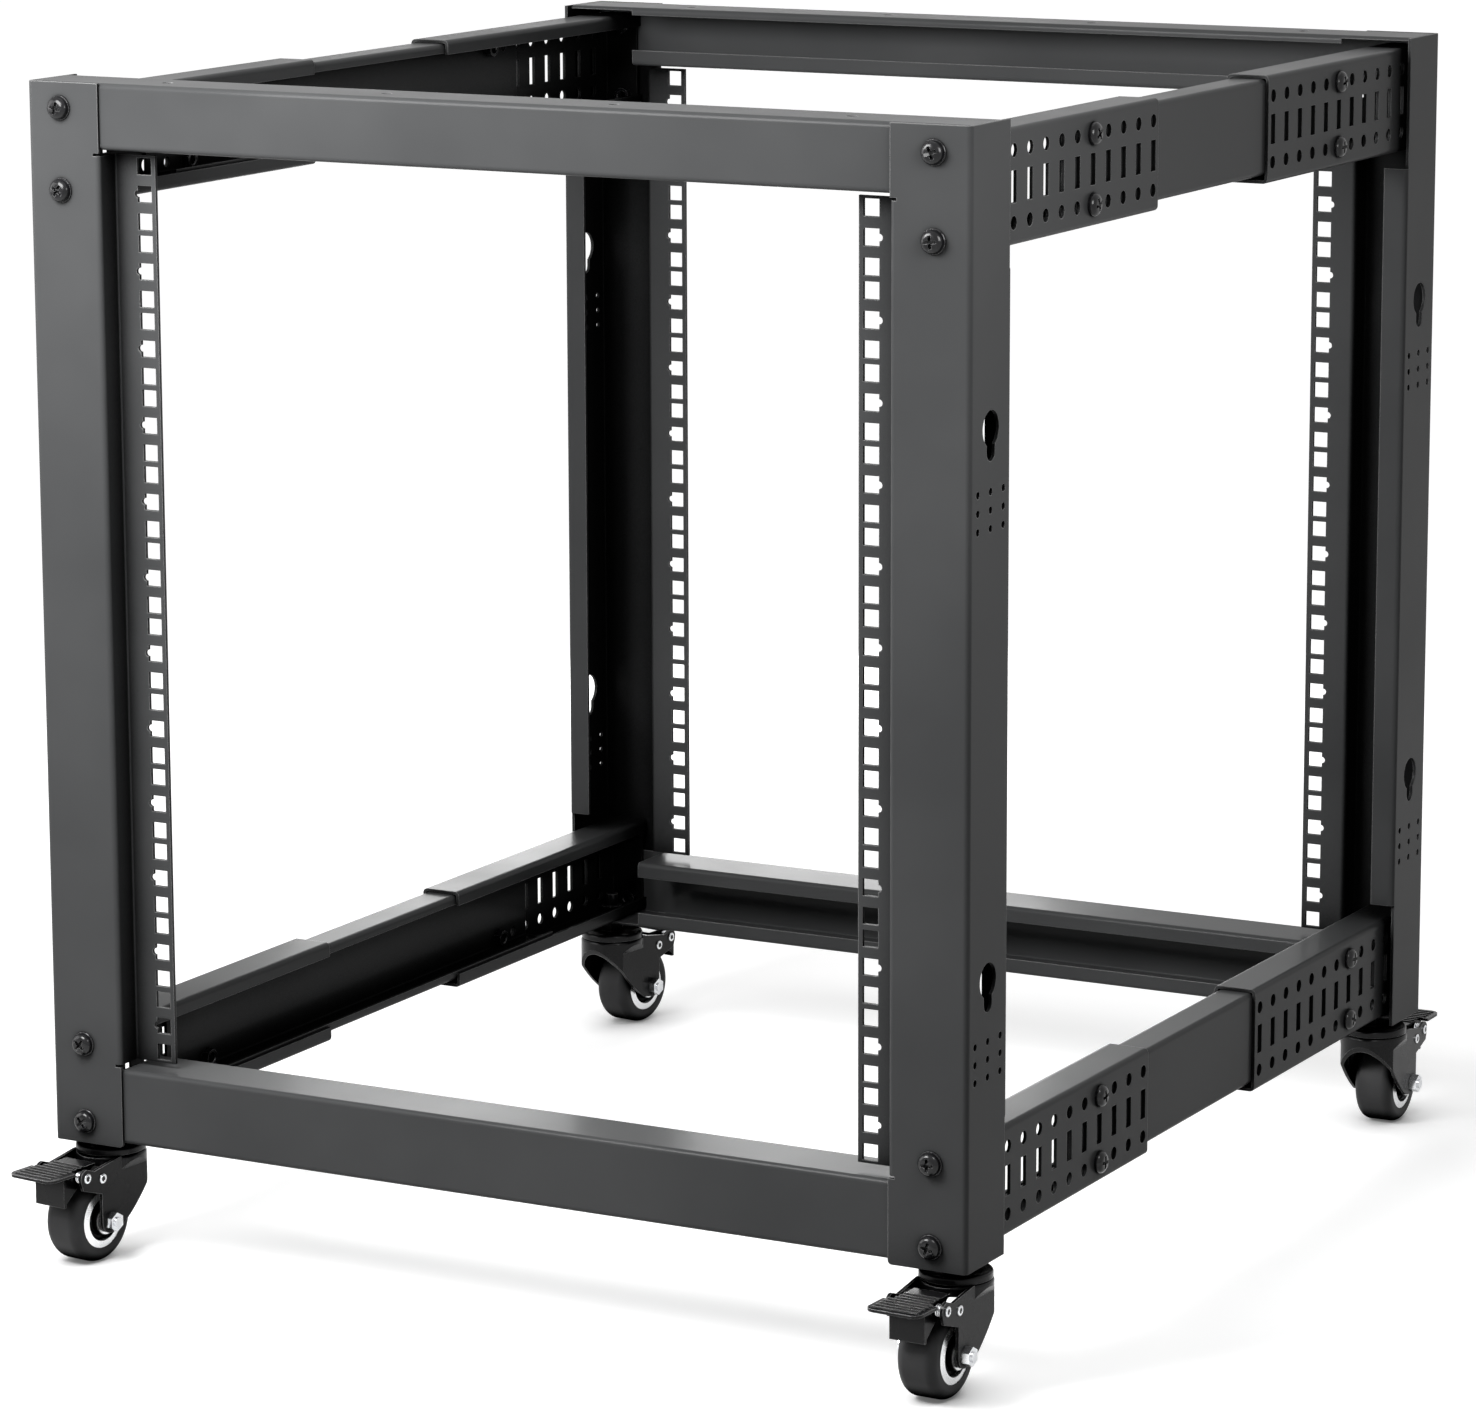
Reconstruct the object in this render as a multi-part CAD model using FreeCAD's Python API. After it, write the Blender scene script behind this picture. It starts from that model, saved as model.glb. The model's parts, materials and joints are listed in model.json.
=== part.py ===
import FreeCAD, Part
import math
import os

# Four post open frame rack, 12 units high, on four swivel casters with brakes.
# Millimetres. +X is to the right, +Y to the back, +Z up. The origin is on the floor,
# at the centre of the footprint.

V = FreeCAD.Vector

# ---- driving dimensions -------------------------------------------------------------
# rack units
UNIT = 44.45
UNIT_COUNT = 12
HOLE_STEP = 15.875              # from a unit's middle hole to its upper and lower one
HOLE_INSET = 7.55               # from a rail's edge to the middle of its square holes
HOLE_SIDE = 9.5
NOTCH_R = 2.0                   # half-round notch that marks each unit's middle hole

# frame
CLEAR_WIDTH = 450.0             # between the rails
SIDE_WIDTH = 75.0               # from a rail's edge to the frame's side
FRAME_DEPTH = 660.0
CASTER_HEIGHT = 73.0            # from the floor to the underside of the posts
SHEET = 2.0
BEND_R = 1.0                    # inner radius of every bend

# posts
POST_FACE = 48.0
POST_SIDE = 50.0
RAIL_SETBACK = 17.0             # from a post's outer face to its rail
POST_LIP = 15.0
LIP_GAP = 10.0                  # between a post's lip and the side sleeves
RAIL_GAP = 3.3                  # between a rail's end and the beam next to it
RELIEF_WIDE = 4.0
RELIEF_HIGH = 1.5
FOOT_R = 2.5                    # corner of a post's face at its lower end

# keyholes and the grid of small holes in a post's side
KEY_R = 10.0
KEY_SLOT = 10.0
KEY_DROP = 12.6                 # from the round hole's centre to the slot's end radius
KEY_HEIGHTS = (411.75, 109.5)   # round holes, above the rail's lower end
GRID_DROP = 44.0                # from a keyhole to the grid's middle
GRID_ACROSS = 15.5
GRID_DOWN = 10.0
GRID_D = 4.0

# cross beams
TOP_BEAM_HEIGHT = 38.0
BOTTOM_BEAM_HEIGHT = 45.0
BEAM_LIFT = 2.0                 # bottom beams stand this much above the posts' ends
BEAM_FLANGE = 40.0
TOP_BEAM_LIP = 5.0
BEAM_LIP = 10.0
BEAM_END_GAP = 0.3              # between a beam's end and a post's side
TOP_HOLE_D = 6.5
TOP_HOLE_PITCH = 145.5
TOP_HOLE_COUNT = 4

# side sleeves and the channels that slide in them
SLEEVE_HEIGHT = 63.5
SLEEVE_FLANGE = 27.0
SLEEVE_LIP = 9.0
SLEEVE_REACH = 252.0            # from the frame's front or back
SLEEVE_INSET = 6.5              # from the frame's side
UPPER_SLEEVE_DROP = 6.5         # from the posts' tops
LOWER_SLEEVE_LIFT = 5.0         # from the posts' ends
CHANNEL_HEIGHT = 56.5
CHANNEL_LIP = 6.0
SLIDE_GAP = 0.2
COLUMN_COUNT = 12               # hole columns of a sleeve, counted from its free end
COLUMN_PITCH = 20.0
COLUMN_MARGIN = 7.0
ROW_OFFSET = 19.5
ROUND_D = 7.5
SLOT_WIDE = 6.5
SLOT_HIGH = 17.5

# screws: the holes that they pass through
SCREW_HOLE_D = 6.5
FACE_SCREW_INSET = 22.0         # from the frame's side
FACE_SCREW_PITCH = 47.0
SHORT_MARGIN = 16.5             # from a channel's one end to its last holes
LONG_MARGIN = 21.5              # and from its other end
RIGHT_UPPER_COLUMNS = (5, 6)    # sleeve columns at the last holes, front and rear
RIGHT_LOWER_COLUMNS = (4, 7)
LEFT_COLUMNS = (6, 5)

# casters: distances ahead are from the swivel axis towards the pedal
CASTER_INSET = 28.0             # from the frame's front to the swivel axis
FRONT_YAWS = (6.5, 2.5)         # degrees that the pedals turn to the left: left, right
REAR_YAWS = (-8.0, 0.5)
WHEEL_D = 52.0
WHEEL_WIDTH = 24.0
TYRE_THICK = 8.7
SHOULDER_R = 5.5
RING_WIDE = 4.3                 # pale ring round the hub's pocket
POCKET_DEEP = 3.0
HUB_D = 17.0
HUB_LENGTH = 30.0
TRAIL = 22.0                    # ahead of the swivel axis to the axle
AXLE_D = 6.0
AXLE_PLAY = 0.05
AXLE_NUT_SIZE = 10.0
AXLE_NUT_HIGH = 5.0
STEM_D = 8.0
STEM_PLAY = 0.5
STEM_RISE = 20.0                # above the posts' ends
STEM_NUT_SIZE = 13.0
STEM_NUT_HIGH = 5.0
KINGPIN_D = 12.0
KINGPIN_HEAD_D = 17.0
KINGPIN_HEAD_HIGH = 2.0
SWIVEL_PLAY = 0.1
CUP_D = 41.5
CUP_TOP = 67.6
CUP_EDGE_R = 1.6
CUP_GAP = 0.3                   # between the cup and the fork's crown
CROWN_D = 42.5
CROWN_TOP = 63.0
CROWN_EDGE_R = 2.0
SKIRT = 6.0                     # height of the crown's wall at the back
FORK_WIDTH = 36.0
FORK_SHEET = 2.0
SHOULDER_TOP = 60.0             # where the crown starts to narrow to the legs
SHOULDER_END = 55.0
LEG_BULGE = 3.0                 # of a leg's back edge, from straight
BOSS_R = 7.3                    # round the axle
THROAT_Z = 44.0
PIVOT_D = 4.0
PIVOT_AHEAD = 42.5
PIVOT_Z = 56.5
NOSE_R = 5.2                    # of a leg round the pedal's pivot
RIVET_AHEAD = 28.8
RIVET_Z = 53.5
RIVET_HEAD_D = 5.8
RIVET_HEAD_HIGH = 0.8

# brake pedals
PADDLE_REACH = 73.0             # ahead to the tip
PADDLE_DEEP = 21.5
PADDLE_WIDE = 34.0
PADDLE_THICK = 1.8
PADDLE_TOP = 61.4
PADDLE_CORNER_R = 6.0
RAMP_WIDE = 22.0
RAMP_AHEAD = 27.0               # to the end that is under the frame
RIDGE_COUNT = 8
RIDGE_PITCH = 4.3
RIDGE_WIDE = 1.2
RIDGE_HIGH = 0.6
CHEEK_THICK = 2.0
SHOE_AHEAD = 53.0
SHOE_Z = 40.0
SHOE_THICK = 2.2

# ---- places worked out from them ------------------------------------------------------
FRAME_WIDTH = CLEAR_WIDTH + 2 * SIDE_WIDTH
HALF_WIDTH = FRAME_WIDTH / 2
HALF_DEPTH = FRAME_DEPTH / 2
RAIL_HEIGHT = UNIT * UNIT_COUNT
POST_HEIGHT = BEAM_LIFT + BOTTOM_BEAM_HEIGHT + RAIL_HEIGHT + TOP_BEAM_HEIGHT + 2 * RAIL_GAP
POST_BOTTOM = CASTER_HEIGHT
POST_TOP = POST_BOTTOM + POST_HEIGHT
FACE_EDGE = HALF_WIDTH - POST_FACE
FACE_SCREW_X = HALF_WIDTH - FACE_SCREW_INSET
BOTTOM_BEAM_Z = POST_BOTTOM + BEAM_LIFT
RAIL_BOTTOM = BOTTOM_BEAM_Z + BOTTOM_BEAM_HEIGHT + RAIL_GAP
RAIL_TOP = RAIL_BOTTOM + RAIL_HEIGHT
RAIL_Y = HALF_DEPTH - RAIL_SETBACK
UPPER_SLEEVE_Z = POST_TOP - UPPER_SLEEVE_DROP - SLEEVE_HEIGHT
LOWER_SLEEVE_Z = POST_BOTTOM + LOWER_SLEEVE_LIFT
SLEEVE_X = HALF_WIDTH - SLEEVE_INSET
BEAM_Y = HALF_DEPTH - SHEET
SLEEVE_END_Y = BEAM_Y - SHEET
OUTER_R = BEND_R + SHEET
CASTER_X = SLEEVE_X - SLEEVE_FLANGE / 2
CASTER_Y = HALF_DEPTH - CASTER_INSET
CUP_BOTTOM = CROWN_TOP + CUP_GAP
CROWN_R = CROWN_D / 2
AXLE_Z = WHEEL_D / 2


# ---- shape helpers --------------------------------------------------------------------
def box(x0, x1, y0, y1, z0, z1):
    """A block between two corners, given in any order."""
    low = V(min(x0, x1), min(y0, y1), min(z0, z1))
    return Part.makeBox(abs(x1 - x0), abs(y1 - y0), abs(z1 - z0), low)


def rod(x, y, z, axis, radius, length):
    """A cylinder that starts at x, y, z and runs along axis."""
    return Part.makeCylinder(radius, length, V(x, y, z), axis)


def fuse(shapes):
    """One clean solid from shapes that meet."""
    joined = shapes[0]
    if len(shapes) > 1:
        joined = joined.multiFuse(shapes[1:])
    return joined.removeSplitter()


def cut(shape, tools):
    """The shape less all of the tools."""
    return shape.cut(Part.makeCompound(tools)) if tools else shape


def offset_path(path, gap):
    """The path moved to its right by gap, corner by corner."""
    moved = []
    for i, point in enumerate(path):
        before = (point - path[i - 1]).normalize() if i > 0 else None
        after = (path[i + 1] - point).normalize() if i < len(path) - 1 else None
        if before is None:
            before = after
        if after is None:
            after = before
        right_before = V(before.y, -before.x, 0)
        right_after = V(after.y, -after.x, 0)
        middle = right_before + right_after
        moved.append(point + middle * (gap / (1 + right_before.dot(right_after))))
    return moved


def is_point(edge):
    """Whether a stretch between two bends has no length."""
    return isinstance(edge, tuple) and edge[0].distanceToPoint(edge[1]) < 1e-6


def line_or_arc(edge):
    """The edge itself, or a line between a pair of points."""
    return Part.makeLine(*edge) if isinstance(edge, tuple) else edge


def rounded_edges(path, radii):
    """Lines and arcs along a path, with one radius for each inner corner."""
    edges = []
    start = path[0]
    for i in range(1, len(path) - 1):
        corner = path[i]
        before = (corner - path[i - 1]).normalize()
        after = (path[i + 1] - corner).normalize()
        turn = before.getAngle(after)
        reach = radii[i - 1] * math.tan(turn / 2)
        arc_start = corner - before * reach
        arc_end = corner + after * reach
        inward = (after - before).normalize()
        depth = radii[i - 1] * (1 / math.cos(turn / 2) - 1)
        edges.append((start, arc_start))
        edges.append(Part.Arc(arc_start, corner + inward * depth, arc_end).toShape())
        start = arc_end
    edges.append((start, path[-1]))
    return [line_or_arc(edge) for edge in edges if not is_point(edge)]


def folded_face(points):
    """Section of a folded sheet whose metal lies to the right of a path of points."""
    path = [V(x, y, 0) for x, y in points]
    other = offset_path(path, SHEET)
    path_radii = []
    other_radii = []
    for i in range(1, len(path) - 1):
        before = path[i] - path[i - 1]
        after = path[i + 1] - path[i]
        turns_right = before.cross(after).z < 0
        path_radii.append(OUTER_R if turns_right else BEND_R)
        other_radii.append(BEND_R if turns_right else OUTER_R)
    edges = rounded_edges(path, path_radii) + rounded_edges(other, other_radii)
    edges.append(Part.makeLine(path[0], other[0]))
    edges.append(Part.makeLine(path[-1], other[-1]))
    return Part.Face(Part.Wire(Part.__sortEdges__(edges)))


def flip_x(shape):
    """The same piece for the left side."""
    return shape.mirror(V(0, 0, 0), V(1, 0, 0))


def flip_y(shape):
    """The same piece for the back."""
    return shape.mirror(V(0, 0, 0), V(0, 1, 0))


def write(name, shape):
    """Write one node."""
    shape.exportStep("parts/" + name + ".step")


# ---- posts ----------------------------------------------------------------------------
def square_holes():
    """Tools for one rail's square holes, the middle one of each unit with its notch."""
    centre_x = CLEAR_WIDTH / 2 + HOLE_INSET
    half = HOLE_SIDE / 2
    near = -RAIL_Y - SHEET
    far = -RAIL_Y + 2 * SHEET
    tools = []
    for unit in range(UNIT_COUNT):
        middle = RAIL_BOTTOM + (unit + 0.5) * UNIT
        for step in (-HOLE_STEP, 0, HOLE_STEP):
            z = middle + step
            tools.append(box(centre_x - half, centre_x + half, near, far, z - half, z + half))
        tools.append(rod(centre_x + half, near, middle, V(0, 1, 0), NOTCH_R, far - near))
    return tools


def side_holes():
    """Tools for the keyholes and small holes in a post's side."""
    x = HALF_WIDTH - 2 * SHEET
    long = 4 * SHEET
    y = -HALF_DEPTH + POST_SIDE / 2
    tools = []
    for height in KEY_HEIGHTS:
        z = RAIL_BOTTOM + height
        slot_r = KEY_SLOT / 2
        tools.append(rod(x, y, z, V(1, 0, 0), KEY_R, long))
        tools.append(rod(x, y, z - KEY_DROP, V(1, 0, 0), slot_r, long))
        tools.append(box(x, x + long, y - slot_r, y + slot_r, z - KEY_DROP, z))
        for row in (-1, 0, 1):
            for column in (-1, 0, 1):
                hole_y = y + column * GRID_ACROSS
                hole_z = z - GRID_DROP + row * GRID_DOWN
                tools.append(rod(x, hole_y, hole_z, V(1, 0, 0), GRID_D / 2, long))
    return tools


def face_screw_heights():
    """Heights of the screws that hold the sleeves to a post's outer face."""
    heights = []
    for sleeve_z in (UPPER_SLEEVE_Z, LOWER_SLEEVE_Z):
        middle = sleeve_z + SLEEVE_HEIGHT / 2
        heights += [middle + FACE_SCREW_PITCH / 2, middle - FACE_SCREW_PITCH / 2]
    return heights


def foot_corner():
    """Tool that rounds the lower inner corner of a post's face."""
    near = -HALF_DEPTH - 1
    x = FACE_EDGE + FOOT_R
    z = POST_BOTTOM + FOOT_R
    corner = box(FACE_EDGE - 1, x, near, near + 2 * SHEET, POST_BOTTOM - 1, z)
    return corner.cut(rod(x, near, z, V(0, 1, 0), FOOT_R, 2 * SHEET))


def make_post():
    """The front right post: side, outer face, web and rail, folded from one sheet."""
    front = -HALF_DEPTH
    rear = front + POST_SIDE
    outer = [(HALF_WIDTH, rear - OUTER_R), (HALF_WIDTH, front), (FACE_EDGE, front)]
    shell = folded_face(outer)
    shell.translate(V(0, 0, POST_BOTTOM))
    shell = shell.extrude(V(0, 0, POST_HEIGHT))
    seam = FACE_EDGE + OUTER_R
    shell = shell.cut(box(FACE_EDGE - 1, seam, front - 1, front + POST_SIDE, RAIL_BOTTOM, RAIL_TOP))

    inner = [(seam, front), (FACE_EDGE, front), (FACE_EDGE, -RAIL_Y), (CLEAR_WIDTH / 2, -RAIL_Y)]
    rail = folded_face(inner)
    rail.translate(V(0, 0, RAIL_BOTTOM))
    rail = rail.extrude(V(0, 0, RAIL_HEIGHT))

    lip_bottom = LOWER_SLEEVE_Z + SLEEVE_HEIGHT + LIP_GAP
    lip_top = UPPER_SLEEVE_Z - LIP_GAP
    edge = [(HALF_WIDTH - POST_LIP, rear), (HALF_WIDTH, rear), (HALF_WIDTH, rear - OUTER_R)]
    lip = folded_face(edge)
    lip.translate(V(0, 0, lip_bottom))
    lip = lip.extrude(V(0, 0, lip_top - lip_bottom))

    post = fuse([shell, rail, lip])
    tools = square_holes() + side_holes() + [foot_corner()]
    for z in (RAIL_BOTTOM - RELIEF_HIGH, RAIL_TOP):
        tools.append(box(FACE_EDGE - 1, FACE_EDGE + RELIEF_WIDE, front - 1, front + 2 * SHEET,
                         z, z + RELIEF_HIGH))
    for z in face_screw_heights():
        tools.append(rod(FACE_SCREW_X, front - SHEET, z, V(0, 1, 0), SCREW_HOLE_D / 2, 3 * SHEET))
    return cut(post, tools)


# ---- cross beams ----------------------------------------------------------------------
def beam_section(height, top_lip, bottom_lip):
    """Section of a lipped channel, open to the back: across is Y, up is its height."""
    front = 0
    back = BEAM_FLANGE
    return folded_face([(back, height - top_lip), (back, height), (front, height),
                        (front, 0), (back, 0), (back, bottom_lip)][::-1])


def make_beam(z, height, top_lip, bottom_lip):
    """A front cross beam with both flanges full length."""
    half = HALF_WIDTH - SHEET - BEAM_END_GAP
    section = beam_section(height, top_lip, bottom_lip)
    section.rotate(V(0, 0, 0), V(1, 0, 0), 90)
    section.rotate(V(0, 0, 0), V(0, 0, 1), 90)
    section.translate(V(-half, -BEAM_Y, z))
    return section.extrude(V(2 * half, 0, 0))


def end_zones(z0, z1):
    """Tools that clear a beam's flange and lip inside both posts."""
    half = HALF_WIDTH
    near = -BEAM_Y + SHEET
    far = near + BEAM_FLANGE
    room = FACE_EDGE - SLIDE_GAP
    return [box(room, half, near, far, z0, z1), box(-room, -half, near, far, z0, z1)]


def beam_screw_holes(heights):
    """Tools for the screws that pass through a front beam's ends."""
    tools = []
    for side in (-1, 1):
        for z in heights:
            tools.append(rod(side * FACE_SCREW_X, -BEAM_Y - SHEET, z, V(0, 1, 0),
                             SCREW_HOLE_D / 2, 3 * SHEET))
    return tools


def make_top_beam():
    """The top front beam: its top flange runs over the posts and covers them."""
    z = POST_TOP - TOP_BEAM_HEIGHT
    beam = make_beam(z, TOP_BEAM_HEIGHT, TOP_BEAM_LIP, BEAM_LIP)
    tools = end_zones(z - 1, POST_TOP - SHEET)
    tools += beam_screw_holes([face_screw_heights()[0]])
    middle_y = -BEAM_Y + BEAM_FLANGE / 2
    for i in range(TOP_HOLE_COUNT):
        x = (i - (TOP_HOLE_COUNT - 1) / 2) * TOP_HOLE_PITCH
        tools.append(rod(x, middle_y, POST_TOP - 2 * SHEET, V(0, 0, 1), TOP_HOLE_D / 2, 3 * SHEET))
    return cut(beam, tools)


def make_bottom_beam():
    """The bottom front beam: its bottom flange runs under the posts' ends."""
    z = BOTTOM_BEAM_Z
    beam = make_beam(z, BOTTOM_BEAM_HEIGHT, BEAM_LIP, BEAM_LIP)
    top = z + BOTTOM_BEAM_HEIGHT
    tools = end_zones(z + SHEET, top + 1)
    tools += beam_screw_holes([face_screw_heights()[3]])
    for side in (-1, 1):
        tools.append(rod(side * CASTER_X, -CASTER_Y, z - SHEET, V(0, 0, 1),
                         STEM_D / 2 + STEM_PLAY, 3 * SHEET))
    return cut(beam, tools)


# ---- side sleeves and channels --------------------------------------------------------
def side_section(outer_x, z, height, flange, lip):
    """Section of a lipped channel in the XZ plane, open to the middle of the frame."""
    x_in = -flange
    face = folded_face([(x_in, height - lip), (x_in, height), (0, height),
                        (0, 0), (x_in, 0), (x_in, lip)])
    face.rotate(V(0, 0, 0), V(1, 0, 0), 90)
    face.translate(V(outer_x, 0, z))
    return face


def column_y(column):
    """Distance of a sleeve's hole column from the middle of the frame."""
    return HALF_DEPTH - SLEEVE_REACH + COLUMN_MARGIN + column * COLUMN_PITCH


def make_sleeve(z):
    """A front right sleeve: a perforated channel with an end tab behind the beam."""
    end = -SLEEVE_END_Y
    free = -HALF_DEPTH + SLEEVE_REACH
    section = side_section(SLEEVE_X, z, SLEEVE_HEIGHT, SLEEVE_FLANGE, SLEEVE_LIP)
    section.translate(V(0, end, 0))
    channel = section.extrude(V(0, free - end, 0))
    tab_x = SLEEVE_X - SLEEVE_FLANGE
    tab = box(tab_x + SHEET, SLEEVE_X - SHEET, end, end + SHEET, z + SHEET, z + SLEEVE_HEIGHT - SHEET)
    sleeve = fuse([channel, tab])
    middle = z + SLEEVE_HEIGHT / 2
    x = SLEEVE_X - 2 * SHEET
    long = 4 * SHEET
    tools = []
    for column in range(COLUMN_COUNT):
        y = -column_y(column)
        for row in (-ROW_OFFSET, ROW_OFFSET):
            tools.append(rod(x, y, middle + row, V(1, 0, 0), ROUND_D / 2, long))
        tools.append(box(x, x + long, y - SLOT_WIDE / 2, y + SLOT_WIDE / 2,
                         middle - SLOT_HIGH / 2, middle + SLOT_HIGH / 2))
    for step in (-FACE_SCREW_PITCH / 2, FACE_SCREW_PITCH / 2):
        tools.append(rod(FACE_SCREW_X, end - SHEET, middle + step, V(0, 1, 0),
                         SCREW_HOLE_D / 2, 3 * SHEET))
    if z < POST_TOP / 2:
        tools.append(rod(CASTER_X, -CASTER_Y, z - SHEET, V(0, 0, 1),
                         STEM_D / 2 + STEM_PLAY, 3 * SHEET))
    return cut(sleeve, tools)


def make_channel(sleeve_z, columns, front_margin, rear_margin):
    """A right hand channel between two sleeves, with two columns of holes at each end."""
    front_column, rear_column = columns
    front = -column_y(front_column) - front_margin
    rear = column_y(rear_column) + rear_margin
    z = sleeve_z + SLEEVE_HEIGHT - SHEET - SLIDE_GAP - CHANNEL_HEIGHT
    flange = SLEEVE_FLANGE - 2 * SHEET - SLIDE_GAP
    section = side_section(SLEEVE_X - SHEET, z, CHANNEL_HEIGHT, flange, CHANNEL_LIP)
    section.translate(V(0, front, 0))
    channel = section.extrude(V(0, rear - front, 0))
    middle = sleeve_z + SLEEVE_HEIGHT / 2
    hole_ys = [-column_y(front_column), -column_y(front_column - 1),
               column_y(rear_column - 1), column_y(rear_column)]
    tools = []
    for y in hole_ys:
        for row in (-ROW_OFFSET, ROW_OFFSET):
            tools.append(rod(SLEEVE_X - 3 * SHEET, y, middle + row, V(1, 0, 0),
                             SCREW_HOLE_D / 2, 4 * SHEET))
    return cut(channel, tools)


# ---- casters: built on the swivel axis, with the pedal to the front ---------------------
def ahead(distance, z):
    """A point in the caster's middle plane."""
    return V(0, -distance, z)


def around(centre, radius, degrees):
    """A point round a centre in that plane: from straight ahead, turned upwards."""
    angle = math.radians(degrees)
    return centre + ahead(radius * math.cos(angle), radius * math.sin(angle))


def plate(points, x0, x1):
    """A plate from x0 to x1, with its outline in the caster's middle plane."""
    face = Part.Face(Part.makePolygon(points + points[:1]))
    face.translate(V(x0, 0, 0))
    return face.extrude(V(x1 - x0, 0, 0))


def hexagon(z, height, across):
    """A hexagonal prism on the swivel axis."""
    radius = across / math.sqrt(3)
    points = [V(radius * math.cos(math.radians(60 * i)), radius * math.sin(math.radians(60 * i)), z)
              for i in range(7)]
    return Part.Face(Part.makePolygon(points)).extrude(V(0, 0, height))


def round_top(cylinder, top, radius):
    """The upright cylinder with its top edge rounded."""
    rim = [edge for edge in cylinder.Edges if edge.BoundBox.ZMin > top - 0.01]
    return cylinder.makeFillet(radius, rim)


def make_cup():
    """Threaded stem with its nuts, bearing cup and kingpin: fixed to the frame."""
    up = V(0, 0, 1)
    stem = rod(0, 0, CUP_BOTTOM, up, STEM_D / 2, POST_BOTTOM + STEM_RISE - CUP_BOTTOM)
    cup = rod(0, 0, CUP_BOTTOM, up, CUP_D / 2, CUP_TOP - CUP_BOTTOM)
    cup = round_top(cup, CUP_TOP, CUP_EDGE_R)
    lower_nut = hexagon(CUP_TOP, BOTTOM_BEAM_Z - CUP_TOP, STEM_NUT_SIZE)
    upper_nut = hexagon(LOWER_SLEEVE_Z + SHEET, STEM_NUT_HIGH, STEM_NUT_SIZE)
    head_top = CROWN_TOP - FORK_SHEET - CUP_GAP
    pin = rod(0, 0, head_top, up, KINGPIN_D / 2, CUP_BOTTOM - head_top)
    head = rod(0, 0, head_top - KINGPIN_HEAD_HIGH, up, KINGPIN_HEAD_D / 2, KINGPIN_HEAD_HIGH)
    return fuse([stem, cup, lower_nut, upper_nut, pin, head])


def leg_outline():
    """The fork seen from the side: crown, leg down to the axle, nose at the pedal."""
    axle = ahead(TRAIL, AXLE_Z)
    pivot = ahead(PIVOT_AHEAD, PIVOT_Z)
    back = ahead(-CROWN_R, CROWN_TOP)
    skirt = ahead(-CROWN_R, CROWN_TOP - SKIRT)
    heel = around(axle, 1.55 * BOSS_R, -150)
    chord = heel - skirt
    bulge = V(0, -chord.z, chord.y).normalize() * LEG_BULGE
    sole = around(axle, BOSS_R, -100)
    instep = around(axle, BOSS_R, 0)
    throat = ahead(TRAIL + BOSS_R, THROAT_Z)
    chin = around(pivot, 1.5 * NOSE_R, -67)
    nose_low = around(pivot, NOSE_R, -20)
    nose_top = around(pivot, NOSE_R, 95)
    valley = around(pivot, 1.45 * NOSE_R, 158)
    shoulder = ahead(math.sqrt(CROWN_R ** 2 - (FORK_WIDTH / 2) ** 2) + FORK_SHEET, CROWN_TOP)
    edges = [
        Part.makeLine(back, skirt),
        Part.Arc(skirt, skirt + chord * 0.5 + bulge, heel).toShape(),
        Part.makeLine(heel, sole),
        Part.Arc(sole, around(axle, BOSS_R, -50), instep).toShape(),
        Part.makeLine(instep, throat),
        Part.makeLine(throat, chin),
        Part.makeLine(chin, nose_low),
        Part.Arc(nose_low, around(pivot, NOSE_R, 40), nose_top).toShape(),
        Part.makeLine(nose_top, valley),
        Part.makeLine(valley, shoulder),
        Part.makeLine(shoulder, back),
    ]
    face = Part.Face(Part.Wire(Part.__sortEdges__(edges)))
    face.translate(V(-CROWN_R - 1, 0, 0))
    return face.extrude(V(2 * CROWN_R + 2, 0, 0))


def narrowing(half_top, half_bottom):
    """A long block, as wide as the crown above its shoulder and as the legs below it."""
    long = PADDLE_REACH
    profile = [(-half_bottom, 0), (half_bottom, 0), (half_bottom, SHOULDER_END),
               (half_top, SHOULDER_TOP), (half_top, CROWN_TOP), (-half_top, CROWN_TOP),
               (-half_top, SHOULDER_TOP), (-half_bottom, SHOULDER_END), (-half_bottom, 0)]
    points = [V(x, -long, z) for x, z in profile]
    return Part.Face(Part.makePolygon(points)).extrude(V(0, 2 * long, 0))


def make_fork():
    """Stamped fork: a round crown whose wall runs down into two legs."""
    up = V(0, 0, 1)
    half = FORK_WIDTH / 2
    inner_half = half - FORK_SHEET
    inner_r = CROWN_R - FORK_SHEET
    roof = CROWN_TOP - FORK_SHEET
    flat_end = math.sqrt(CROWN_R ** 2 - half ** 2)
    drum = round_top(rod(0, 0, 0, up, CROWN_R, CROWN_TOP), CROWN_TOP, CROWN_EDGE_R)
    drum = drum.common(narrowing(CROWN_R, half))
    hollow = rod(0, 0, -1, up, inner_r, roof + 1).common(narrowing(inner_r, inner_half))
    mouth = box(-inner_half, inner_half, -PADDLE_REACH, 0, -1, CROWN_TOP - SKIRT)
    drum = drum.cut(hollow).cut(mouth)
    cheeks = [box(side * inner_half, side * half, -PADDLE_REACH, -flat_end, 0, CROWN_TOP)
              for side in (-1, 1)]
    fork = drum.multiFuse(cheeks).common(leg_outline())
    tools = [rod(0, 0, 0, up, KINGPIN_D / 2 + SWIVEL_PLAY, CROWN_TOP + 1)]
    for y, z, radius in ((TRAIL, AXLE_Z, AXLE_D / 2), (PIVOT_AHEAD, PIVOT_Z, PIVOT_D / 2),
                         (RIVET_AHEAD, RIVET_Z, PIVOT_D / 2)):
        tools.append(rod(-FORK_WIDTH, -y, z, V(1, 0, 0), radius, 2 * FORK_WIDTH))
    return cut(fork, tools).removeSplitter()


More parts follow.
